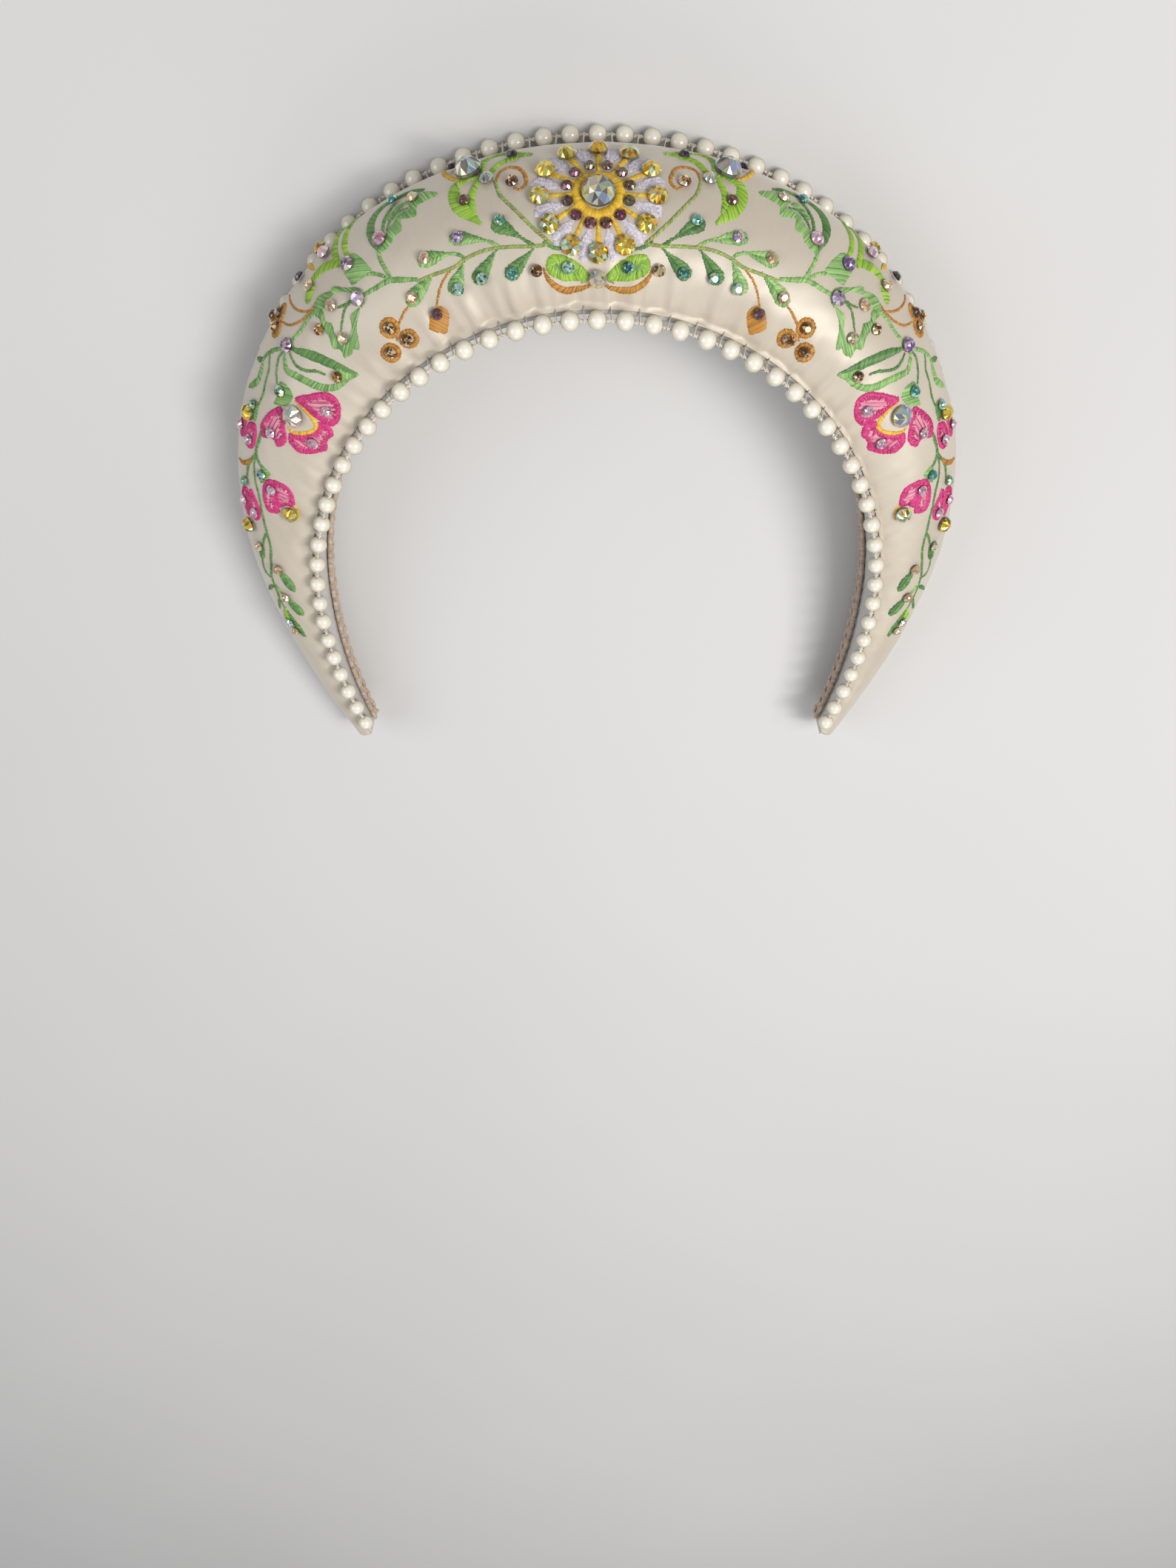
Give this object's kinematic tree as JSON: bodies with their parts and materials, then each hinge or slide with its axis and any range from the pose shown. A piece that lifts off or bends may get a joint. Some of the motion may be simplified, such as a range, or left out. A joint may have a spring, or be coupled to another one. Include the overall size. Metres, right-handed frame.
{
  "type": "kokoshnik headdress",
  "caption": "Padded satin crown band for folk costume, an arch that tapers to both ends, with pearl strands on its front and back seams, floral embroidery and cut stones.",
  "frame": {"origin": "centre of the footprint at the floor: the band lies on the strand of pearls round its back face", "axes": "+X across the band from the viewer's left end to its right end, +Y toward the crown of the arch, +Z from the back face toward the front row of pearls"},
  "size_m": [0.2112, 0.1804, 0.0451],
  "materials": {
    "satin": "ivory satin, padded",
    "lining": "pale grey-white cloth",
    "braid": "looped braid",
    "pearl": "pearl lustre",
    "clear_crystal": "cut, iridescent coat",
    "amber_crystal": "cut, iridescent coat",
    "dark_crystal": "cut, dark metallic coat"
  },
  "bodies": {
    "root": {"padded_band": "satin", "inner_lining": "lining", "lining_braid": "braid", "front_pearl_strand": "pearl", "back_pearl_strand": "pearl", "center_stone": "clear_crystal", "petal_stone_01": "amber_crystal", "petal_stone_02": "amber_crystal", "petal_stone_03": "amber_crystal", "petal_stone_04": "amber_crystal", "petal_stone_05": "amber_crystal", "petal_stone_06": "amber_crystal", "petal_stone_07": "amber_crystal", "petal_stone_08": "amber_crystal", "petal_stone_09": "amber_crystal", "petal_stone_10": "amber_crystal", "petal_stone_11": "amber_crystal", "petal_stone_12": "amber_crystal", "ring_stone_01": "dark_crystal", "ring_stone_02": "dark_crystal", "ring_stone_03": "dark_crystal", "ring_stone_04": "dark_crystal", "ring_stone_05": "dark_crystal", "ring_stone_06": "dark_crystal", "ring_stone_07": "dark_crystal", "ring_stone_08": "dark_crystal", "ring_stone_09": "dark_crystal", "ring_stone_10": "dark_crystal", "ring_stone_11": "dark_crystal", "ring_stone_12": "dark_crystal", "crown_crystal_left": "clear_crystal", "crown_crystal_right": "clear_crystal", "crown_companion_left": "clear_crystal", "crown_companion_right": "clear_crystal", "flower_stone_left": "clear_crystal", "flower_stone_right": "clear_crystal", "outer_flower_stone_left": "amber_crystal", "outer_flower_stone_right": "amber_crystal", "bud_stone_left": "amber_crystal", "bud_stone_right": "amber_crystal", "outer_bud_stone_left": "amber_crystal", "outer_bud_stone_right": "amber_crystal"}
  },
  "joints": []
}
